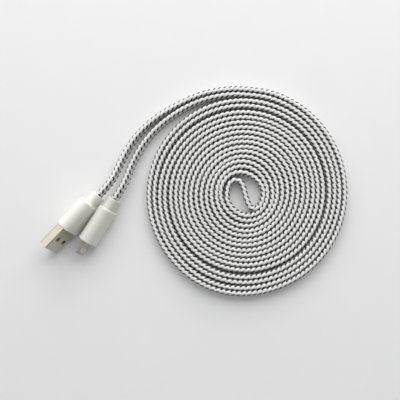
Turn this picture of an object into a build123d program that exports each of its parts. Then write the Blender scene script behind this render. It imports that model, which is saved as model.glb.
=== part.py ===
"""Flat braided charging cable, coiled on edge, with a USB-A plug and a reversible tab plug.

Millimetres. The cable lies on the plane Z = 0 and +Z is up. The origin is the middle of the coil, on that
plane. The two ends leave the coil towards -X and the plugs lie side by side beyond it.
Each plug is modelled in its own frame: the origin is the middle of its housing's front face, +X points out
of the plug along the way it is pushed in, Y runs along its width and Z through its thickness.
"""
from build123d import *
import math
import os

# Flat cable
cable_width = 5.4
cable_thickness = 2.2
jacket_width = 4.9
jacket_thickness = 1.7
core_pitch = 1.12
wire_radius = 0.42

# Coil: a double spiral, two strands side by side, wound clockwise from the outside in
coil_radius_out = 47.1
strand_pair_pitch = 4.65
strand_spacing = 2.4
# Its outer turns are looser, by a gap that closes again further in, and one more where the loose ends leave
loose_gap = 0.76
loose_turns = 1.6
loose_fade = 0.35
start_gap = 0.8
start_fade = 0.2
# Wound by hand, it is not quite round: two lobes that twist from turn to turn, and a bulge in its outer turns
lobe_turn = 4
lobe_height = 0.32
lobe_growth = 0.065
lobe_angle = 63
lobe_twist = 12
lobe_twist_growth = 7.2
bulge_height = 1.2
bulge_angle = 196
bulge_reach = 25.5
bulge_turns = 1.2
bulge_fade = 0.56
last_turn_outer_strand = 8.4
last_turn_inner_strand = 7.9
eye_strand_reach = 9.8
eye_strand_angle = 119

# Loose ends, as the points of each centreline from the coil to the plug
usb_route = [
    (0, 48.7, 2.7),
    (-8.5, 48.7, 2.7),
    (-20.3, 46.5, 2.7),
    (-31.6, 41.2, 2.72),
    (-42.2, 34.7, 2.8),
    (-50.6, 26.7, 3.1),
    (-56.2, 17.3, 4.1),
    (-60.1, 8.3, 5.9),
    (-63.7, 3.01, 7.2),
    (-67.45, -0.87, 7.2),
]
tab_route = [
    (0, 46.26, 2.7),
    (-7.5, 46.26, 2.7),
    (-18.4, 44.2, 2.7),
    (-28.9, 39.6, 2.72),
    (-38.7, 32.7, 2.76),
    (-46.4, 24.4, 2.9),
    (-51.6, 15.4, 3.5),
    (-54.75, 7.1, 4.7),
    (-56.91, 2.37, 5.6),
    (-60.27, -2.79, 5.6),
]
arc_share = 0.45

# USB-A plug
usb_roll = 67
shell_width = 12.0
shell_height = 4.5
shell_wall = 0.3
shell_corner = 0.65
shell_reach = 12.0
shell_inside = 6.7
latch_hole_length = 2.0
latch_hole_width = 2.3
latch_hole_from_tip = 6.4
latch_hole_offset = 2.9
tongue_reach = 11.3
tongue_top = -0.12
tongue_root = 2.9
fit_gap = 0.05
contact_width = 1.0
contact_thickness = 0.3
contact_proud = 0.04
power_contact_reach = 10.6
data_contact_reach = 9.6
power_contact_offset = 3.5
data_contact_offset = 1.0
contact_tail = -8.6
usb_housing_width = 15.0
usb_housing_thickness = 6.7
usb_housing_length = 16.3
usb_cavity_width = 13.4
usb_cavity_thickness = 5.2
usb_jacket_front = -11.6
clamp_length = 1.5
clamp_wall = 0.25

# Tab plug
tab_roll = 66
tab_width = 6.7
tab_thickness = 1.5
tab_reach = 6.65
tab_tip_corner = 1.1
notch_radius = 0.55
notch_depth = 0.32
notch_from_tip = 4.1
window_width = 5.3
window_length = 3.1
window_from_tip = 0.85
core_slot_thickness = 0.8
tab_base_width = 8.0
tab_base_thickness = 2.6
tab_base_front = -1.2
tab_base_rear = -2.6
pad_count = 8
pad_pitch = 0.62
pad_width = 0.42
pad_length = 2.4
pad_depth = 0.1
board_width = 7.2
board_thickness = 0.8
board_rear = -9.8
chip_length = 2.4
chip_width = 2.0
chip_height = 0.6
capacitor_length = 0.8
capacitor_size = 0.4
can_width = 9.0
can_height = 3.6
can_wall = 0.2
can_rear = -7.6
tab_housing_width = 11.6
tab_housing_thickness = 7.0
tab_housing_length = 18.2
tab_cavity_width = 9.8
tab_cavity_thickness = 5.2
tab_jacket_front = -13.2

# Both plugs
front_wall = 1.0
rear_wall = 1.0
flange_length = 0.8
sleeve_width = 8.5
sleeve_thickness = 5.0
sleeve_length = 5.4
sleeve_rim_round = 0.5
housing_front_round = 0.5
housing_rear_round = 0.9
joint_radius = 0.5
joint_length = 1.4
wire_straight = 0.5

os.makedirs("parts", exist_ok=True)


def eased(share):
    """A smooth step from 0 to 1."""
    share = min(max(share, 0), 1)
    return share * share * (3 - 2 * share)


def coil_radius(turn):
    """Centreline radius of the outer strand after that many turns from the outside."""
    radius = coil_radius_out - strand_pair_pitch * turn
    radius += loose_gap * (1 - eased((turn - loose_turns) / loose_fade))
    radius += start_gap * (1 - eased(turn / start_fade))
    inner = turn - lobe_turn
    phase = lobe_angle - lobe_twist * inner - lobe_twist_growth * inner**2
    radius += (lobe_height + lobe_growth * inner) * math.cos(math.radians(720 * turn - phase))
    from_bulge = (360 * turn - bulge_angle + 180) % 360 - 180
    bulge = bulge_height * (1 - eased((turn - bulge_turns) / bulge_fade))
    return radius + bulge * math.exp(-((from_bulge / bulge_reach) ** 2))


def spiral_point(turn, offset):
    """A point on the outer strand's spiral, moved outwards by offset. Turn 0 is at the top, on +Y."""
    angle = math.radians(90 - 360 * turn)
    radius = coil_radius(turn) + offset
    return (radius * math.cos(angle), radius * math.sin(angle))


def spiral_arcs(first, last, offset, pieces):
    """Arcs along the spiral from one turn number to another."""
    step = (last - first) / pieces
    return [
        ThreePointArc(
            spiral_point(first + i * step, offset),
            spiral_point(first + (i + 0.5) * step, offset),
            spiral_point(first + (i + 1) * step, offset),
        )
        for i in range(pieces)
    ]


def bar(section, start, end):
    """A sketch in Y and Z, pulled along X."""
    return extrude(Plane.YZ.offset(start) * section, amount=end - start)


def slot(width, thickness):
    """A section with round ends, width along Y."""
    return SlotOverall(width, thickness)


def box_between(low, high):
    """A box from its lowest to its highest corner."""
    size = [b - a for a, b in zip(low, high)]
    middle = [(a + b) / 2 for a, b in zip(low, high)]
    return Pos(*middle) * Box(*size)


def group(parts):
    """Separate solids in one node."""
    return Compound(children=[solid for part in parts for solid in part.solids()])


def corner_radii(points):
    """For each corner of a route, the arc that the shorter of its two runs allows."""
    radii = []
    for before, corner, after in zip(points, points[1:], points[2:]):
        run_in = Vector(*corner) - Vector(*before)
        run_out = Vector(*after) - Vector(*corner)
        half_turn = math.radians(run_in.get_angle(run_out)) / 2
        radii.append(arc_share * min(run_in.length, run_out.length) / math.tan(half_turn))
    return radii


def loose_end(name, points):
    """A flat cable stood on edge along straight runs and tangent arcs."""
    radii = corner_radii(points)
    path = FilletPolyline(*points, radius=radii)
    heading = Vector(*points[1]) - Vector(*points[0])
    start = Plane(origin=points[0], x_dir=(0, 0, 1), z_dir=heading)
    section = start * SlotOverall(cable_width, cable_thickness)
    tube = sweep(section, path=path)
    ideal = section.area * path.length
    print(name, "radii", [round(r, 1) for r in radii])
    print(name, "length", round(path.length, 1), "volume share", round(tube.volume / ideal, 4))
    return tube


def coil():
    """The wound cable's outer shape: a spiral-edged disc with an eye that one strand crosses."""
    half = cable_thickness / 2
    rim = spiral_arcs(0, 1, half, 24)
    rim.append(Line(spiral_point(1, half), spiral_point(0, half)))
    disc = make_face(Wire(rim))
    outer_run = spiral_arcs(last_turn_outer_strand - 0.5, last_turn_outer_strand, -half, 8)
    inner_offset = -half - strand_spacing
    inner_run = spiral_arcs(last_turn_inner_strand - 0.5, last_turn_inner_strand, inner_offset, 8)
    steps = [Line(outer_run[-1] @ 1, inner_run[0] @ 0), Line(inner_run[-1] @ 1, outer_run[0] @ 0)]
    eye = make_face(Wire(outer_run + [steps[0]] + inner_run + [steps[1]]))
    crossing = Rot(0, 0, eye_strand_angle) * SlotCenterToCenter(2 * eye_strand_reach, cable_thickness)
    return extrude(disc - eye + (crossing & disc), amount=cable_width)


def wire_run(start, end):
    """One insulated wire: straight out of the jacket, across, and straight into its joint."""
    direction = 1 if end[0] > start[0] else -1
    leave = (start[0] + direction * wire_straight, start[1], start[2])
    arrive = (end[0] - direction * wire_straight, end[1], end[2])
    path = FilletPolyline(start, leave, arrive, end, radius=2 * wire_radius)
    section = Plane(origin=start, z_dir=(direction, 0, 0)) * Circle(wire_radius)
    return sweep(section, path=path)


def solder_joint(rear, across, floor):
    """A rounded drop of solder on a flat pad, with its rear end flat against the wire."""
    drop = bar(Pos(across, floor + 0.6 * joint_radius) * Circle(joint_radius), rear, rear + joint_length)
    drop = fillet(drop.edges().sort_by(Axis.X)[-1], 0.3)
    below = box_between((rear - 1, across - 1, floor - 2), (rear + joint_length + 1, across + 1, floor))
    return drop - below


def housing(width, thickness, length, cavity_width, cavity_thickness, front_opening, cavity_start):
    """A moulded tube with rounded ends: a front opening, a cavity, and a rear opening for the sleeve."""
    body = bar(slot(width, thickness), -length, 0)
    body = fillet(body.edges().group_by(Axis.X)[-1], housing_front_round)
    body = fillet(body.edges().group_by(Axis.X)[0], housing_rear_round)
    body -= bar(front_opening, cavity_start, 0)
    body -= bar(slot(cavity_width, cavity_thickness), rear_wall - length, cavity_start)
    body -= bar(slot(sleeve_width, sleeve_thickness), -length, rear_wall - length)
    return body


def strain_relief(housing_length, cavity_width, cavity_thickness):
    """A sleeve with a flange that the housing's rear wall holds, bored for the flat cable's jacket."""
    flange_rear = rear_wall - housing_length
    sleeve_rear = -housing_length - sleeve_length
    sleeve = bar(slot(sleeve_width, sleeve_thickness), sleeve_rear, flange_rear)
    sleeve = fillet(sleeve.edges().group_by(Axis.X)[0], sleeve_rim_round)
    sleeve += bar(slot(cavity_width, cavity_thickness), flange_rear, flange_rear + flange_length)
    return sleeve - bar(slot(jacket_width, jacket_thickness), sleeve_rear - 1, flange_rear + 1 + flange_length)


def cable_end(front, housing_length):
    """The flat jacket from the sleeve's rear face to where its wires fan out."""
    return bar(slot(jacket_width, jacket_thickness), -housing_length - sleeve_length, front)


def usb_plug():
    """The pieces of the USB-A plug, in its own frame."""
    pieces = {}
    outer = RectangleRounded(shell_width, shell_height, shell_corner)
    inner_width = shell_width - 2 * shell_wall
    inner_height = shell_height - 2 * shell_wall
    inner = RectangleRounded(inner_width, inner_height, shell_corner - shell_wall)
    shell = bar(outer, -shell_inside, shell_reach) - bar(inner, -shell_inside, shell_reach)
    hole_x = shell_reach - latch_hole_from_tip
    for across in (-latch_hole_offset, latch_hole_offset):
        shell -= Pos(hole_x, across, 0) * Box(latch_hole_length, latch_hole_width, shell_height + 1)
    pieces["usb_shell"] = shell

    half_width = inner_width / 2 - fit_gap
    half_height = inner_height / 2 - fit_gap
    root = box_between((-shell_inside, -half_width, -half_height), (tongue_root, half_width, half_height))
    root = fillet(root.edges().filter_by(Axis.X), shell_corner - shell_wall)
    tongue = box_between((0, -half_width, -half_height), (tongue_reach, half_width, tongue_top))
    tongue = fillet(tongue.edges().filter_by(Axis.X).group_by(Axis.Z)[0], shell_corner - shell_wall)
    insulator = root + tongue
    blades = {
        "usb_contact_supply": (-power_contact_offset, power_contact_reach),
        "usb_contact_data_minus": (-data_contact_offset, data_contact_reach),
        "usb_contact_data_plus": (data_contact_offset, data_contact_reach),
        "usb_contact_ground": (power_contact_offset, power_contact_reach),
    }
    blade_top = tongue_top + contact_proud
    wires = ["usb_wire_supply", "usb_wire_data_minus", "usb_wire_data_plus", "usb_wire_ground"]
    joints = []
    for i, (name, (across, reach)) in enumerate(blades.items()):
        low = (contact_tail, across - contact_width / 2, blade_top - contact_thickness)
        blade = box_between(low, (reach, across + contact_width / 2, blade_top))
        nose = blade.edges().filter_by(Axis.Y).group_by(Axis.X)[-1].sort_by(Axis.Z)[-1]
        pieces[name] = chamfer(nose, contact_thickness - contact_proud)
        insulator -= pieces[name]
        joints.append(solder_joint(contact_tail, across, blade_top))
        jacket_side = (usb_jacket_front, (i - 1.5) * core_pitch, 0)
        pieces[wires[i]] = wire_run(jacket_side, (contact_tail, across, blade_top + 0.6 * joint_radius))
    pieces["usb_insulator"] = insulator
    pieces["usb_solder_joints"] = group(joints)

    pieces["usb_cable_end"] = cable_end(usb_jacket_front, usb_housing_length)
    clamp_rear = usb_jacket_front - 0.3 - clamp_length
    band = slot(jacket_width + 2 * clamp_wall, jacket_thickness + 2 * clamp_wall)
    band -= slot(jacket_width, jacket_thickness)
    pieces["usb_cable_clamp"] = bar(band, clamp_rear, clamp_rear + clamp_length)
    cavity = slot(usb_cavity_width, usb_cavity_thickness)
    mould_rear = rear_wall + flange_length - usb_housing_length
    mould = bar(cavity, mould_rear, -shell_inside)
    for name in [*blades, *wires, "usb_cable_end", "usb_cable_clamp"]:
        mould -= pieces[name]
    for joint in joints:
        mould -= joint
    pieces["usb_inner_mould"] = mould
    pieces["usb_housing"] = housing(
        usb_housing_width,
        usb_housing_thickness,
        usb_housing_length,
        usb_cavity_width,
        usb_cavity_thickness,
        outer,
        -shell_inside,
    )
    pieces["usb_strain_relief"] = strain_relief(usb_housing_length, usb_cavity_width, usb_cavity_thickness)
    return pieces


def tab_blank():
    """The steel tab with round edges and a round-cornered tip, and the flange at its root."""
    section = slot(tab_width, tab_thickness)
    tab = bar(section, tab_base_rear, tab_reach)
    plan = Pos((tab_reach + tab_base_rear) / 2, 0) * Rectangle(tab_reach - tab_base_rear, tab_width)
    tip_corners = plan.vertices().group_by(Axis.X)[-1]
    plan = fillet(tip_corners, tab_tip_corner)
    tab &= extrude(plan, amount=tab_thickness, both=True)
    notch_x = tab_reach - notch_from_tip
    for side in (-1, 1):
        notch_y = side * (tab_width / 2 + notch_radius - notch_depth)
        tab -= Pos(notch_x, notch_y, 0) * Cylinder(notch_radius, tab_thickness + 1)
    return tab + bar(slot(tab_base_width, tab_base_thickness), tab_base_rear, tab_base_front)


def tab_plug():
    """The pieces of the reversible tab plug, in its own frame."""
    pieces = {}
    window_front = tab_reach - window_from_tip
    window_rear = window_front - window_length
    low = (window_rear, -window_width / 2, -tab_thickness)
    window = box_between(low, (window_front, window_width / 2, tab_thickness))
    window = fillet(window.edges().filter_by(Axis.Z), 0.3)
    half_core = core_slot_thickness / 2
    low = (tab_base_rear, -window_width / 2, -half_core)
    core_slot = box_between(low, (window_rear + 0.5, window_width / 2, half_core))
    pieces["tab_frame"] = tab_blank() - window - core_slot

    fill_half = tab_thickness / 2 - 0.03
    fill = window & box_between((0, -tab_width, -fill_half), (tab_reach, tab_width, fill_half))
    insulator = fill + core_slot
    pads = {"tab_contacts_upper": 1, "tab_contacts_lower": -1}
    pad_x = (window_front + window_rear) / 2
    for name, side in pads.items():
        row = []
        for i in range(pad_count):
            across = (i - (pad_count - 1) / 2) * pad_pitch
            middle = side * (tab_thickness / 2 - pad_depth / 2)
            pad = Pos(pad_x, across, middle) * Box(pad_length, pad_width, pad_depth)
            insulator -= pad
            row.append(pad)
        pieces[name] = group(row)
    pieces["tab_insulator"] = insulator

    half_board = board_thickness / 2
    low = (board_rear, -board_width / 2, -half_board)
    pieces["tab_board"] = box_between(low, (tab_base_rear, board_width / 2, half_board))
    chip_x = tab_base_rear - 1.2 - chip_length / 2
    chip = Pos(chip_x, 0.6, half_board + chip_height / 2) * Box(chip_length, chip_width, chip_height)
    pieces["tab_control_chip"] = chamfer(chip.faces().sort_by(Axis.Z)[-1].edges(), 0.12)
    capacitors = []
    for x in (-0.9, 0, 0.9):
        place = Pos(chip_x + x, -2.2, half_board + capacitor_size / 2)
        body = place * Box(capacitor_size, capacitor_length, capacitor_size)
        capacitors.append(fillet(body.edges().filter_by(Axis.Y), 0.06))
    pieces["tab_capacitors"] = group(capacitors)
    can_section = RectangleRounded(can_width, can_height, 0.6)
    can_section -= RectangleRounded(can_width - 2 * can_wall, can_height - 2 * can_wall, 0.6 - can_wall)
    pieces["tab_shield_can"] = bar(can_section, can_rear, tab_base_front)

    joints = []
    wires = ["tab_wire_supply", "tab_wire_data_minus", "tab_wire_data_plus", "tab_wire_ground"]
    for i, name in enumerate(wires):
        across = (i - 1.5) * 1.75
        joints.append(solder_joint(board_rear + 0.2, across, half_board))
        jacket_side = (tab_jacket_front, (i - 1.5) * core_pitch, 0)
        pad_side = (board_rear + 0.2, across, half_board + 0.6 * joint_radius)
        pieces[name] = wire_run(jacket_side, pad_side) - pieces["tab_board"]
    pieces["tab_solder_joints"] = group(joints)

    pieces["tab_cable_end"] = cable_end(tab_jacket_front, tab_housing_length)
    mould_rear = rear_wall + flange_length - tab_housing_length
    mould = bar(slot(tab_cavity_width, tab_cavity_thickness), mould_rear, can_rear)
    for name in ["tab_board", "tab_cable_end", *wires]:
        mould -= pieces[name]
    for joint in joints:
        mould -= joint
    pieces["tab_inner_mould"] = mould
    pieces["tab_housing"] = housing(
        tab_housing_width,
        tab_housing_thickness,
        tab_housing_length,
        tab_cavity_width,
        tab_cavity_thickness,
        slot(tab_width, tab_thickness),
        -front_wall,
    )
    pieces["tab_strain_relief"] = strain_relief(tab_housing_length, tab_cavity_width, tab_cavity_thickness)
    return pieces


def plug_place(route, housing_length, roll):
    """Where a plug's frame lies: its sleeve's rear end is the end of the route, and its axis is level."""
    end = Vector(*route[-1])
    before = Vector(*route[-2])
    flat = Vector(end.X - before.X, end.Y - before.Y, 0).normalized()
    origin = end + flat * (sleeve_length + housing_length)
    lower_side = Vector(-flat.Y, flat.X, 0)
    tilt = math.radians(roll)
    normal = lower_side * math.sin(tilt) + Vector(0, 0, math.cos(tilt))
    return Plane(origin=origin, x_dir=flat, z_dir=normal).location


nodes = {"cable_coil": coil()}
nodes["cable_tail_usb"] = loose_end("cable_tail_usb", usb_route)
nodes["cable_tail_tab"] = loose_end("cable_tail_tab", tab_route)
for plug, route, length, roll in (
    (usb_plug(), usb_route, usb_housing_length, usb_roll),
    (tab_plug(), tab_route, tab_housing_length, tab_roll),
):
    place = plug_place(route, length, roll)
    for name, piece in plug.items():
        nodes[name] = place * piece

for name, shape in nodes.items():
    export_step(shape, f"parts/{name}.step")
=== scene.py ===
"""Looks for the coiled flat charging cable: the braided cable itself, the plugs' materials, and the studio.

Metres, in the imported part's own frame: the coil's middle is the origin, +Z is up, and the plugs lie at -X.
"""

import math

import bpy
import numpy as np
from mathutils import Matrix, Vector


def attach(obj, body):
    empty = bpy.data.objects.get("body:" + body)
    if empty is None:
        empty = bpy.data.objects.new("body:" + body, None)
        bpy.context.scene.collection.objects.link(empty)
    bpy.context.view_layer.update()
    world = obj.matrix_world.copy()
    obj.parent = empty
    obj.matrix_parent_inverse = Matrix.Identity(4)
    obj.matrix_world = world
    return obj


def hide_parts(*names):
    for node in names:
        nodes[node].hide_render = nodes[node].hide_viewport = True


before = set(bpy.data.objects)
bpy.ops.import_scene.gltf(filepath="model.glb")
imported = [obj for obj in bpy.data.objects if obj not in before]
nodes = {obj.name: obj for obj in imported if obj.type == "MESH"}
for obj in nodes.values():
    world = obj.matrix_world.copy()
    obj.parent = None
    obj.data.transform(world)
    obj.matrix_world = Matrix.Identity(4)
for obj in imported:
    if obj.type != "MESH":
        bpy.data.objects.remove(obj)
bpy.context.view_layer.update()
scene = bpy.context.scene
MM = 0.001

# ---------------------------------------------------------------- camera

VIEW_CENTRE = (-20.71 * MM, -3.0 * MM)
VIEW_HEIGHT = 420 * MM
VIEW_WIDTH = 186 * MM
COIL_TOP = 5.4 * MM
SENSOR_WIDTH = 36


def add_camera():
    """Straight overhead, with +Y at the top of the picture, and as wide as VIEW_WIDTH at the coil's top."""
    data = bpy.data.cameras.new("camera")
    data.sensor_width = SENSOR_WIDTH
    data.lens = SENSOR_WIDTH * (VIEW_HEIGHT - COIL_TOP) / VIEW_WIDTH
    data.clip_start = 10 * MM
    camera = bpy.data.objects.new("camera", data)
    camera.location = (*VIEW_CENTRE, VIEW_HEIGHT)
    scene.collection.objects.link(camera)
    scene.camera = camera


add_camera()

# ---------------------------------------------------------------- the cable's route

# The loose ends, as in the part's source, from the coil to each plug
USB_ROUTE = [
    (0, 0.0487, 0.0027),
    (-0.0085, 0.0487, 0.0027),
    (-0.0203, 0.0465, 0.0027),
    (-0.0316, 0.0412, 0.00272),
    (-0.0422, 0.0347, 0.0028),
    (-0.0506, 0.0267, 0.0031),
    (-0.0562, 0.0173, 0.0041),
    (-0.0601, 0.0083, 0.0059),
    (-0.0637, 0.00301, 0.0072),
    (-0.06745, -0.00087, 0.0072),
]
TAB_ROUTE = [
    (0, 0.04626, 0.0027),
    (-0.0075, 0.04626, 0.0027),
    (-0.0184, 0.0442, 0.0027),
    (-0.0289, 0.0396, 0.00272),
    (-0.0387, 0.0327, 0.00276),
    (-0.0464, 0.0244, 0.0029),
    (-0.0516, 0.0154, 0.0035),
    (-0.05475, 0.0071, 0.0047),
    (-0.05691, 0.00237, 0.0056),
    (-0.06027, -0.00279, 0.0056),
]
# The fold at the coil's middle, from the USB strand to the tab strand
FOLD = [
    (0.0089, 0.0011),
    (0.0087, -0.0024),
    (0.0072, -0.0058),
    (0.0050, -0.0072),
    (0.0027, -0.0063),
    (0.0017, -0.0040),
    (0.0007, -0.0014),
    (0.0001, 0.0015),
    (-0.0009, 0.0046),
    (-0.0026, 0.0065),
    (-0.0053, 0.0064),
    (-0.0073, 0.0044),
    (-0.0080, 0.0010),
]
CABLE_WIDTH = 5.4 * MM
REST_HEIGHT = CABLE_WIDTH / 2

# Two strands are wound side by side: the outer one's radius, how far each turn lies inside the last,
# and how far apart the two are
COIL_RADIUS = 47.1 * MM
PAIR_PITCH = 4.65 * MM
STRAND_SPACING = 2.4 * MM
# The coil's outer turns stand out by a loose gap that closes further in,
# and its first by one more gap, where the loose ends leave
LOOSE_GAP = 0.76 * MM
LOOSE_TURNS = 1.6
LOOSE_FADE = 0.35
START_GAP = 0.8 * MM
START_FADE = 0.2
# Wound by hand, it has two lobes, given at one turn, that grow and twist from turn to turn, and a bulge in
# its outer turns. Angles are in degrees, clockwise from +Y, and the lobes' are twice as large, because the
# lobes repeat each half turn.
LOBE_TURN = 4
LOBE_HEIGHT = 0.32 * MM
LOBE_GROWTH = 0.065 * MM
LOBE_ANGLE = 63
LOBE_TWIST = 12
LOBE_TWIST_GROWTH = 7.2
BULGE_HEIGHT = 1.2 * MM
BULGE_ANGLE = 196
BULGE_REACH = 25.5
BULGE_TURNS = 1.2
BULGE_FADE = 0.56
POINTS_PER_TURN = 24
# Turns from the coil's outside to the fold
USB_STRAND_END = 8.21
TAB_STRAND_END = 7.71
LINE_RESOLUTION = 14


def eased(share):
    """A smooth step from 0 to 1."""
    share = np.clip(share, 0, 1)
    return share * share * (3 - 2 * share)


def coil_radius(turn):
    """Radius of the outer strand after that many turns from the outside."""
    radius = COIL_RADIUS - PAIR_PITCH * turn
    radius += LOOSE_GAP * (1 - eased((turn - LOOSE_TURNS) / LOOSE_FADE))
    radius += START_GAP * (1 - eased(turn / START_FADE))
    inner = turn - LOBE_TURN
    phase = LOBE_ANGLE - LOBE_TWIST * inner - LOBE_TWIST_GROWTH * inner**2
    radius += (LOBE_HEIGHT + LOBE_GROWTH * inner) * math.cos(math.radians(720 * turn - phase))
    from_bulge = (360 * turn - BULGE_ANGLE + 180) % 360 - 180
    bulge = BULGE_HEIGHT * (1 - eased((turn - BULGE_TURNS) / BULGE_FADE))
    return radius + bulge * math.exp(-((from_bulge / BULGE_REACH) ** 2))


def coil_points(last, inset):
    """One strand's control points, clockwise from just after the coil's top to the given turn.

    They stand outside the strand, because the smooth line cuts inside its control points.
    """
    outward = 1 / math.cos(math.pi / POINTS_PER_TURN)
    points = []
    for i in range(1, int(last * POINTS_PER_TURN) + 1):
        turn = i / POINTS_PER_TURN
        radius = outward * (coil_radius(turn) - inset)
        angle = math.pi / 2 - 2 * math.pi * turn
        points.append((radius * math.cos(angle), radius * math.sin(angle), REST_HEIGHT))
    return points


def route_points():
    """The whole cable's control points, from the USB-A plug to the tab plug."""
    inward = coil_points(USB_STRAND_END, 0)
    outward = coil_points(TAB_STRAND_END, STRAND_SPACING)
    fold = [(x, y, REST_HEIGHT) for x, y in FOLD]
    return USB_ROUTE[::-1] + inward + fold + outward[::-1] + TAB_ROUTE


def spline_line(points):
    """Points along the smooth NURBS line through those control points."""
    curve = bpy.data.curves.new("cable_route", "CURVE")
    curve.dimensions = "3D"
    curve.resolution_u = LINE_RESOLUTION
    spline = curve.splines.new("NURBS")
    spline.points.add(len(points) - 1)
    for control, point in zip(spline.points, points):
        control.co = (*point, 1)
    spline.order_u = 3
    spline.use_endpoint_u = True
    holder = bpy.data.objects.new("cable_route", curve)
    mesh = bpy.data.meshes.new_from_object(holder)
    line = np.array([v.co for v in mesh.vertices])
    bpy.data.meshes.remove(mesh)
    bpy.data.objects.remove(holder)
    bpy.data.curves.remove(curve)
    return line


cable_line = spline_line(route_points())
steps = np.linalg.norm(np.diff(cable_line, axis=0), axis=1)
run = np.concatenate([[0], np.cumsum(steps)])
cable_run = run[-1]

# ---------------------------------------------------------------- the cable's frame along that line

# The flat cable stands on edge in the coil, with its top leaning out a little, and leans over more towards
# each plug. Leans are to the left, on the way from the USB-A plug to the tab plug, so they change sign at
# the fold: over a run whose middle comes a little after the line's nearest point to the coil's middle.
COIL_LEAN = math.radians(3.5)
FOLD_RUN = 14 * MM
FOLD_AFTER = 6 * MM
USB_LEAN = math.radians(15)
TAB_LEAN = -math.radians(15)
LEAN_RUN = 100 * MM


def unit(vectors):
    """Those vectors, each made one long."""
    return vectors / np.linalg.norm(vectors, axis=1, keepdims=True)


forward = unit(np.gradient(cable_line, run, axis=0))
sideways = unit(np.cross(np.array([0.0, 0.0, 1.0]), forward))
upright = np.cross(forward, sideways)
fold_at = run[np.argmin(np.hypot(cable_line[:, 0], cable_line[:, 1]))]
coil_lean = COIL_LEAN * (1 - 2 * eased((run - fold_at - FOLD_AFTER) / FOLD_RUN + 0.5))
lean = coil_lean + (USB_LEAN - COIL_LEAN) * (1 - eased(run / LEAN_RUN))
lean += (TAB_LEAN + COIL_LEAN) * (1 - eased((cable_run - run) / LEAN_RUN))
cos_lean = np.cos(lean)[:, None]
sin_lean = np.sin(lean)[:, None]
line_up = upright * cos_lean + sideways * sin_lean
line_left = sideways * cos_lean - upright * sin_lean


def along(values, at):
    """Those values of the line, read at distances along it."""
    return np.stack([np.interp(at, run, values[:, i]) for i in range(3)], axis=-1)


def place(at, left, up):
    """Points at a distance along the cable, and to its left and above its middle."""
    aside = along(line_left, at) * left[..., None]
    above = along(line_up, at) * up[..., None]
    return along(cable_line, at) + aside + above


class Oval:
    """A flat section with round edges, walked by arc length from the top's middle towards the left."""

    def __init__(self, width, thickness):
        self.radius = thickness / 2
        self.straight = (width - thickness) / 2
        self.round = self.radius * math.pi / 2
        self.around = 4 * self.round + 4 * self.straight

    def at(self, walked, height):
        """(left, up) of points that far round the section and that high above it."""
        walked = np.mod(walked, self.around)
        half = self.around / 2
        side = np.where(walked < half, 1.0, -1.0)
        walked = np.where(walked < half, walked, self.around - walked)
        from_top = np.minimum(walked, self.round) / self.radius
        from_bottom = np.minimum(half - walked, self.round) / self.radius
        angle = math.pi / 2 + from_top - from_bottom
        slide = np.clip(self.round + self.straight - walked, -self.straight, self.straight)
        left = (self.radius + height) * np.sin(angle)
        up = slide + (self.radius + height) * np.cos(angle)
        return side * left, up


# ---------------------------------------------------------------- meshes of yarn

def closed_tube(name, rings, marks=None):
    """A closed mesh from an array of ring, point and coordinate, whose points can carry a yarn's marks."""
    count, sides, _ = rings.shape
    ring = np.arange(count - 1)[:, None] * sides
    side = np.arange(sides)[None, :]
    after = (side + 1) % sides
    above = ring + sides
    walls = np.stack([ring + side, ring + after, above + after, above + side], axis=-1).reshape(-1)
    caps = np.concatenate([np.arange(sides)[::-1], (count - 1) * sides + np.arange(sides)])
    corners = np.concatenate([walls, caps]).astype(np.int32)
    quads = (count - 1) * sides
    starts = np.concatenate([np.arange(quads) * 4, quads * 4 + np.array([0, sides])]).astype(np.int32)
    mesh = bpy.data.meshes.new(name)
    mesh.vertices.add(count * sides)
    mesh.vertices.foreach_set("co", rings.reshape(-1).astype(np.float32))
    mesh.loops.add(len(corners))
    mesh.loops.foreach_set("vertex_index", corners)
    mesh.polygons.add(quads + 2)
    mesh.polygons.foreach_set("loop_start", starts)
    mesh.update(calc_edges=True)
    mesh.polygons.foreach_set("use_smooth", np.ones(quads + 2, bool))
    if marks is not None:
        layer = mesh.attributes.new("yarn", "FLOAT_VECTOR", "POINT")
        layer.data.foreach_set("vector", marks.reshape(-1).astype(np.float32))
    piece = bpy.data.objects.new(name, mesh)
    scene.collection.objects.link(piece)
    return piece


def dress(piece, material):
    """Gives a piece its material and the body that it rides on."""
    piece.data.materials.append(material)
    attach(piece, "root")
    return piece


# ---------------------------------------------------------------- braid

# Wales are the columns of stitches along the cable: one over each edge and three on each face
FACE_WALES = 3
WALES = 2 * (1 + FACE_WALES)
STITCH = 2.45 * MM
BRAID = Oval(4.7 * MM, 1.6 * MM)
EDGE_WALE = 2.25 * MM
FACE_WALE = (BRAID.around / 2 - EDGE_WALE) / FACE_WALES
# A bundle waves up and down by this, as a rounded step, to pass over and under the others
WAVE = 0.15 * MM
WAVE_SHARPNESS = 1.5
# Rings along a bundle in each wale
EDGE_SAMPLES = 8
FACE_SAMPLES = 4
# A bundle's slope is read this many wales either side
SLOPE_REACH = 0.3
# A bundle's half width, as a share of the spacing between bundles, so that each just overlaps the next
HALF_WIDTH = 0.53
# A bundle's section: across, in half widths, and up
BUNDLE = np.array([
    (-1, 0.06),
    (-0.7, 0.13),
    (-0.25, 0.16),
    (0.25, 0.16),
    (0.7, 0.13),
    (1, 0.06),
    (0.5, -0.12),
    (-0.5, -0.12),
]) * (1, MM)


def wale_marks():
    """Arc length at each wale's edges, once round the section from the top wale's right edge."""
    widths = ([EDGE_WALE] + [FACE_WALE] * FACE_WALES) * 2
    return np.concatenate([[0], np.cumsum(widths)]) - EDGE_WALE / 2


WALE_MARKS = wale_marks()


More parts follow.
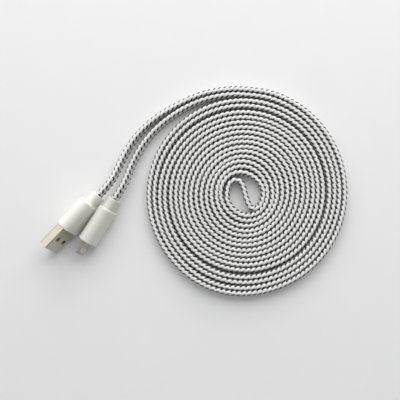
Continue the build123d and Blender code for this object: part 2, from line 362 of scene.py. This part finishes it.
def walked_at(wale):
    """Arc length round the section at a wale number, which runs from -0.5 to 7.5 and repeats."""
    turns = np.floor((wale + 0.5) / WALES)
    within = wale + 0.5 - turns * WALES
    return turns * BRAID.around + np.interp(within, np.arange(WALES + 1), WALE_MARKS)


def wale_samples(first, last):
    """Wale numbers to place rings at: closer together round the cable's two edges."""
    samples = []
    for wale in range(math.floor(first) - 1, math.ceil(last) + 2):
        count = EDGE_SAMPLES if wale % (WALES // 2) == 0 else FACE_SAMPLES
        samples.append(wale - 0.5 + np.arange(count) / count)
    samples = np.concatenate(samples)
    inside = samples[(samples > first) & (samples < last)]
    return np.concatenate([[first], inside, [last]])


def bundle(index, sense):
    """One bundle of yarns, which winds round the cable and goes over one wale and under the next."""
    span = cable_run / STITCH
    if sense > 0:
        phase = index
        wales = wale_samples(phase, phase + span)
    else:
        phase = index + 0.5
        wales = wale_samples(phase - span, phase)[::-1]
    at = np.abs(wales - phase) * STITCH
    rise = walked_at(wales + SLOPE_REACH) - walked_at(wales - SLOPE_REACH)
    angle = np.arctan(rise / (2 * SLOPE_REACH * STITCH))
    half_width = HALF_WIDTH * STITCH * np.sin(angle)
    wave = np.tanh(WAVE_SHARPNESS * np.cos(math.pi * wales)) / math.tanh(WAVE_SHARPNESS)
    lift = WAVE * wave * sense
    across = half_width[:, None] * BUNDLE[None, :, 0]
    where = np.clip(at[:, None] - sense * across * np.sin(angle)[:, None], 0, cable_run)
    walked = walked_at(wales)[:, None] + across * np.cos(angle)[:, None]
    left, up = BRAID.at(walked, lift[:, None] + BUNDLE[None, :, 1])
    rings = place(where, left, up)
    marks = np.stack([
        np.broadcast_to(BUNDLE[None, :, 0], where.shape),
        np.broadcast_to(at[:, None] / STITCH, where.shape),
        np.full(where.shape, float(index)),
    ], axis=-1)
    if sense > 0:
        return closed_tube(f"braid_left_{index + 1}", rings, marks)
    return closed_tube(f"braid_right_{index + 1}", rings[:, ::-1], marks[:, ::-1])


# ---------------------------------------------------------------- black tracer yarns

COIL_TRACER_WIDTH = 1.05 * MM
# Near each plug, the real black tracers along the cable's face that shows, which is in shade, are drawn this
# much wider: real yarn made bolder as painted shade
SHADE_WIDENED_TRACER_WIDTH = 1.4 * MM
NARROW_TRACER_WIDTH = 0.75 * MM
TRACER_THICKNESS = 0.46 * MM
# Each tracer's place in wales, its sense, and its width in the coil, at the USB-A plug and at the tab plug
TRACERS = [
    (0.5, 1, COIL_TRACER_WIDTH, NARROW_TRACER_WIDTH, SHADE_WIDENED_TRACER_WIDTH),
    (7.5, 1, COIL_TRACER_WIDTH, SHADE_WIDENED_TRACER_WIDTH, NARROW_TRACER_WIDTH),
    (3.5, -1, NARROW_TRACER_WIDTH, NARROW_TRACER_WIDTH, NARROW_TRACER_WIDTH),
    (4.5, -1, NARROW_TRACER_WIDTH, SHADE_WIDENED_TRACER_WIDTH, NARROW_TRACER_WIDTH),
]
# In each stitch a tracer sways this far to either side, and rises and sinks this far about its usual height
TRACER_SWAY = 0.36 * MM
TRACER_HEIGHT = 0.14 * MM
TRACER_RISE = 0.18 * MM
TRACER_SAMPLES = 8
TRACER_SIDES = 6


def tracer(wale, sense, width, usb_width, tab_width, number):
    """A black yarn along the corner between an edge wale and a face wale, showing once in each stitch.

    Its width eases from the coil's to the one at either plug.
    """
    at = np.arange(0, cable_run, STITCH / TRACER_SAMPLES)
    full_width = width + (usb_width - width) * (1 - eased(at / LEAN_RUN))
    full_width += (tab_width - width) * (1 - eased((cable_run - at) / LEAN_RUN))
    phase = 2 * math.pi * at / STITCH
    shift = TRACER_SWAY * np.sin(phase) * sense
    lift = TRACER_HEIGHT + TRACER_RISE * np.cos(phase)
    walked = walked_at(np.full(at.shape, float(wale))) + shift
    turn = np.arange(TRACER_SIDES) * 2 * math.pi / TRACER_SIDES
    left, up = BRAID.at(
        walked[:, None] + full_width[:, None] / 2 * np.sin(turn)[None, :],
        lift[:, None] + TRACER_THICKNESS / 2 * np.cos(turn)[None, :],
    )
    rings = place(np.broadcast_to(at[:, None], left.shape), left, up)
    return closed_tube(f"tracer_yarn_{number}", rings)


# ---------------------------------------------------------------- jacket under the braid

JACKET = Oval(4.64 * MM, 1.52 * MM)
JACKET_STEP = 1.0 * MM
# Where the jacket's points stand, in tenths of the way round its section: closer together round its edges
JACKET_MARKS = np.array([-0.5, 0.5, 0.9, 1.9, 3.0, 4.1, 4.5, 5.5, 5.9, 6.9, 8.0, 9.1])


def jacket():
    """The plain flat jacket, the whole length of the cable."""
    at = np.append(np.arange(0, cable_run, JACKET_STEP), cable_run)
    left, up = JACKET.at(JACKET_MARKS / 10 * JACKET.around, np.zeros(JACKET_MARKS.shape))
    along_cable = np.repeat(at[:, None], len(JACKET_MARKS), axis=1)
    left, up = (np.broadcast_to(values, along_cable.shape) for values in (left, up))
    return closed_tube("cable_jacket", place(along_cable, left, up))


# ---------------------------------------------------------------- materials

def heading_of(route):
    """The way a plug points, as an angle about +Z."""
    (x0, y0, _), (x1, y1, _) = route[-2:]
    return math.atan2(y1 - y0, x1 - x0)


USB_HEADING = heading_of(USB_ROUTE)
TAB_HEADING = heading_of(TAB_ROUTE)


# As its noise goes from the first of these to the second, a surface goes from darkest to lightest
# and from smoothest to roughest
NOISE_LOW = 0.3
NOISE_HIGH = 0.7
NOISE_DETAIL = 3


def new_material(name, roughness, metallic, sockets):
    """A material, its node tree and its shader, with those sockets set."""
    material = bpy.data.materials.new(name)
    material.use_nodes = True
    tree = material.node_tree
    shader = tree.nodes["Principled BSDF"]
    shader.inputs["Roughness"].default_value = roughness
    shader.inputs["Metallic"].default_value = metallic
    for key, value in sockets.items():
        shader.inputs[key.replace("_", " ")].default_value = value
    return material, tree, shader


def surface(name, colour, roughness, metallic=0.0, grain=0.4 * MM, stretch=1, heading=0.0,
            depth=0.01 * MM, tint=0.05, gloss=0.05, **sockets):
    """A material with fine noise in its colour, gloss and height, drawn out by stretch along heading."""
    material, tree, shader = new_material(name, roughness, metallic, sockets)
    where = tree.nodes.new("ShaderNodeTexCoord")
    turned = tree.nodes.new("ShaderNodeMapping")
    turned.vector_type = "TEXTURE"
    turned.inputs["Rotation"].default_value = (0, 0, heading)
    turned.inputs["Scale"].default_value = (stretch, 1, 1)
    tree.links.new(where.outputs["Object"], turned.inputs["Vector"])
    noise = tree.nodes.new("ShaderNodeTexNoise")
    noise.inputs["Scale"].default_value = 1 / grain
    noise.inputs["Detail"].default_value = NOISE_DETAIL
    tree.links.new(turned.outputs["Vector"], noise.inputs["Vector"])
    ramp = tree.nodes.new("ShaderNodeValToRGB")
    low, high = ramp.color_ramp.elements
    low.position = NOISE_LOW
    high.position = NOISE_HIGH
    low.color = (*(c * (1 - tint) for c in colour), 1)
    high.color = (*(min(1, c * (1 + tint)) for c in colour), 1)
    tree.links.new(noise.outputs["Fac"], ramp.inputs["Fac"])
    tree.links.new(ramp.outputs["Color"], shader.inputs["Base Color"])
    shine = tree.nodes.new("ShaderNodeMapRange")
    shine.inputs["From Min"].default_value = NOISE_LOW
    shine.inputs["From Max"].default_value = NOISE_HIGH
    shine.inputs["To Min"].default_value = roughness - gloss
    shine.inputs["To Max"].default_value = roughness + gloss
    tree.links.new(noise.outputs["Fac"], shine.inputs["Value"])
    tree.links.new(shine.outputs["Result"], shader.inputs["Roughness"])
    bump = tree.nodes.new("ShaderNodeBump")
    bump.inputs["Distance"].default_value = depth
    tree.links.new(noise.outputs["Fac"], bump.inputs["Height"])
    tree.links.new(bump.outputs["Normal"], shader.inputs["Normal"])
    return material


# Filaments are slanted waves: their radians in half a bundle's width and in a stitch's length, and their
# height as a share of the yarns'
SLANT_ACROSS = 9.0
SLANT_ALONG = 40.0
FILAMENT_HEIGHT = 0.35
YARN_DEPTH = 0.02 * MM


def yarn(name, colour, roughness, yarns, **sockets):
    """Textile yarns side by side along a bundle, each a row of slanted filaments.

    The relief shows only where a mesh carries marks: on the braid's bundles, and not on the tracers.
    """
    material, tree, shader = new_material(name, roughness, 0.0, sockets)
    shader.inputs["Base Color"].default_value = (*colour, 1)
    mark = tree.nodes.new("ShaderNodeAttribute")
    mark.attribute_name = "yarn"
    split = tree.nodes.new("ShaderNodeSeparateXYZ")
    tree.links.new(mark.outputs["Vector"], split.inputs["Vector"])

    def math_node(operation, *values):
        node = tree.nodes.new("ShaderNodeMath")
        node.operation = operation
        for socket, value in zip(node.inputs, values):
            if isinstance(value, float):
                socket.default_value = value
            else:
                tree.links.new(value, socket)
        return node.outputs["Value"]

    rows = math_node("SINE", math_node("MULTIPLY", split.outputs["X"], math.pi * yarns))
    across = math_node("MULTIPLY", split.outputs["X"], SLANT_ACROSS)
    lengthways = math_node("MULTIPLY", split.outputs["Y"], SLANT_ALONG)
    slanted = math_node("SINE", math_node("ADD", across, lengthways))
    filaments = math_node("MULTIPLY", slanted, FILAMENT_HEIGHT)
    bump = tree.nodes.new("ShaderNodeBump")
    bump.inputs["Distance"].default_value = YARN_DEPTH
    tree.links.new(math_node("ADD", rows, filaments), bump.inputs["Height"])
    tree.links.new(bump.outputs["Normal"], shader.inputs["Normal"])
    return material


braid_material = yarn("white_yarn", (0.77, 0.77, 0.755), 0.85, 5.0, Sheen_Weight=0.15)
tracer_material = yarn("black_yarn", (0.012, 0.012, 0.013), 0.7, 3.0)
jacket_material = surface("cable_jacket", (0.55, 0.55, 0.54), 0.55, depth=0.02 * MM)

# White mouldings let a little light in
TRANSLUCENT = {
    "Subsurface_Weight": 0.15,
    "Subsurface_Radius": (1.0, 0.95, 0.88),
    "Subsurface_Scale": 1.5 * MM,
}

# Every CAD node's look, under a word from the node's name
LOOKS = {
    "usb_housing": surface(
        "usb_housing", (0.85, 0.835, 0.77), 0.4, grain=0.9 * MM, tint=0.015, gloss=0.03, depth=0.006 * MM,
        Coat_Weight=0.15, Coat_Roughness=0.2, **TRANSLUCENT,
    ),
    "usb_strain_relief": surface(
        "usb_sleeve", (0.80, 0.79, 0.72), 0.38, grain=0.5 * MM, tint=0.02, depth=0.008 * MM,
    ),
    "usb_shell": surface(
        "usb_nickel", (0.53, 0.49, 0.395), 0.29, 0.9, grain=0.15 * MM, stretch=12,
        heading=USB_HEADING, tint=0.05, gloss=0.02, depth=0.002 * MM,
    ),
    "tab_housing": surface(
        "tab_housing", (0.71, 0.70, 0.635), 0.32, grain=0.9 * MM, tint=0.015, gloss=0.03, depth=0.006 * MM,
        Coat_Weight=0.3, Coat_Roughness=0.15, **TRANSLUCENT,
    ),
    "tab_strain_relief": surface(
        "tab_sleeve", (0.67, 0.66, 0.60), 0.38, grain=0.5 * MM, tint=0.02, depth=0.008 * MM,
    ),
    "tab_frame": surface(
        "tab_steel", (0.47, 0.415, 0.375), 0.36, 0.85, grain=0.12 * MM, stretch=8,
        heading=TAB_HEADING, tint=0.1, depth=0.003 * MM,
    ),
    "tab_insulator": surface("tab_moulding", (0.40, 0.365, 0.34), 0.5, grain=0.3 * MM, depth=0.005 * MM),
    "usb_insulator": surface("usb_moulding", (0.62, 0.62, 0.61), 0.45, grain=0.5 * MM, depth=0.008 * MM),
    "contacts": surface(
        "gold_contacts", (0.74, 0.67, 0.58), 0.32, 0.9, grain=0.1 * MM, tint=0.08, depth=0.002 * MM,
    ),
    "board": surface("green_board", (0.03, 0.16, 0.07), 0.4, grain=0.6 * MM, tint=0.2, depth=0.01 * MM),
    "chip": surface("black_package", (0.02, 0.02, 0.022), 0.55, grain=0.15 * MM, tint=0.2, depth=0.006 * MM),
    "capacitors": surface(
        "tan_ceramic", (0.42, 0.29, 0.17), 0.5, grain=0.1 * MM, tint=0.12, depth=0.003 * MM,
    ),
    "shield": surface(
        "tinned_sheet", (0.66, 0.66, 0.65), 0.35, 0.9, grain=0.3 * MM, stretch=5,
        heading=TAB_HEADING, tint=0.06, depth=0.004 * MM,
    ),
    "clamp": surface(
        "bare_brass", (0.70, 0.52, 0.25), 0.38, 0.9, grain=0.2 * MM, stretch=5,
        heading=USB_HEADING, tint=0.1, depth=0.004 * MM,
    ),
    "solder": surface("bright_solder", (0.68, 0.68, 0.69), 0.3, 0.9, grain=0.25 * MM, depth=0.01 * MM),
    "mould": surface(
        "natural_moulding", (0.56, 0.54, 0.48), 0.5, grain=0.7 * MM, tint=0.06, depth=0.015 * MM,
    ),
    "cable_end": surface("white_jacket", (0.70, 0.70, 0.69), 0.45, tint=0.03, depth=0.012 * MM),
    "supply": surface("red_insulation", (0.45, 0.02, 0.015), 0.4, grain=0.2 * MM, tint=0.1, depth=0.005 * MM),
    "data_minus": surface(
        "white_insulation", (0.75, 0.75, 0.74), 0.4, grain=0.2 * MM, tint=0.04, depth=0.005 * MM,
    ),
    "data_plus": surface(
        "green_insulation", (0.02, 0.22, 0.06), 0.4, grain=0.2 * MM, tint=0.1, depth=0.005 * MM,
    ),
    "ground": surface(
        "black_insulation", (0.015, 0.015, 0.015), 0.4, grain=0.2 * MM, tint=0.2, depth=0.005 * MM,
    ),
    "cable_coil": jacket_material,
    "cable_tail": jacket_material,
}


def look_of(name):
    """The material whose key a node's name holds. A contact's name also holds the name of its wire."""
    if "contact" in name:
        return LOOKS["contacts"]
    return next(material for key, material in LOOKS.items() if key in name)


cable = dress(jacket(), jacket_material)
bundles = [dress(bundle(i, sense), braid_material) for sense in (1, -1) for i in range(WALES)]
tracers = [
    dress(tracer(*facts, number + 1), tracer_material)
    for number, facts in enumerate(TRACERS)
]
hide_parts("cable_coil", "cable_tail_usb", "cable_tail_tab")

for name, node in nodes.items():
    for slot in node.material_slots:
        slot.material = look_of(name)

# ---------------------------------------------------------------- floor and light

FLOOR_REACH = 3.0
KEY_PLACE = (0.1, 0.75, 0.52)
KEY_TARGET = (0, 0.05, 0)
KEY_SIZE = 1.1
KEY_POWER = 11.6
FILL_PLACE = (-0.72, 0.42, 0.62)
FILL_TARGET = (0, 0, 0)
FILL_SIZE = 0.6
FILL_POWER = 1.4
SKY_STRENGTH = 0.38


def add_floor():
    """A plain pale floor, much wider than any view of the object."""
    corners = [(x * FLOOR_REACH, y * FLOOR_REACH, 0) for x, y in ((-1, -1), (1, -1), (1, 1), (-1, 1))]
    mesh = bpy.data.meshes.new("floor")
    mesh.from_pydata(corners, [], [(0, 1, 2, 3)])
    floor = bpy.data.objects.new("floor", mesh)
    scene.collection.objects.link(floor)
    look = surface("floor", (0.80, 0.80, 0.805), 0.6, grain=14 * MM, tint=0.006, gloss=0.02, depth=0.02 * MM)
    mesh.materials.append(look)


def add_area(name, source, target, size, power):
    """A square soft light that shines from a source point towards a target point."""
    data = bpy.data.lights.new(name, "AREA")
    data.size = size
    data.energy = power
    lamp = bpy.data.objects.new(name, data)
    lamp.location = source
    lamp.rotation_euler = (Vector(target) - Vector(source)).to_track_quat("-Z", "Y").to_euler()
    scene.collection.objects.link(lamp)


add_floor()
add_area("key", KEY_PLACE, KEY_TARGET, KEY_SIZE, KEY_POWER)
add_area("fill", FILL_PLACE, FILL_TARGET, FILL_SIZE, FILL_POWER)
world = bpy.data.worlds.new("studio")
scene.world = world
world.use_nodes = True
background = world.node_tree.nodes["Background"]
background.inputs["Color"].default_value = (1, 1, 1, 1)
background.inputs["Strength"].default_value = SKY_STRENGTH
scene.view_settings.view_transform = "Standard"
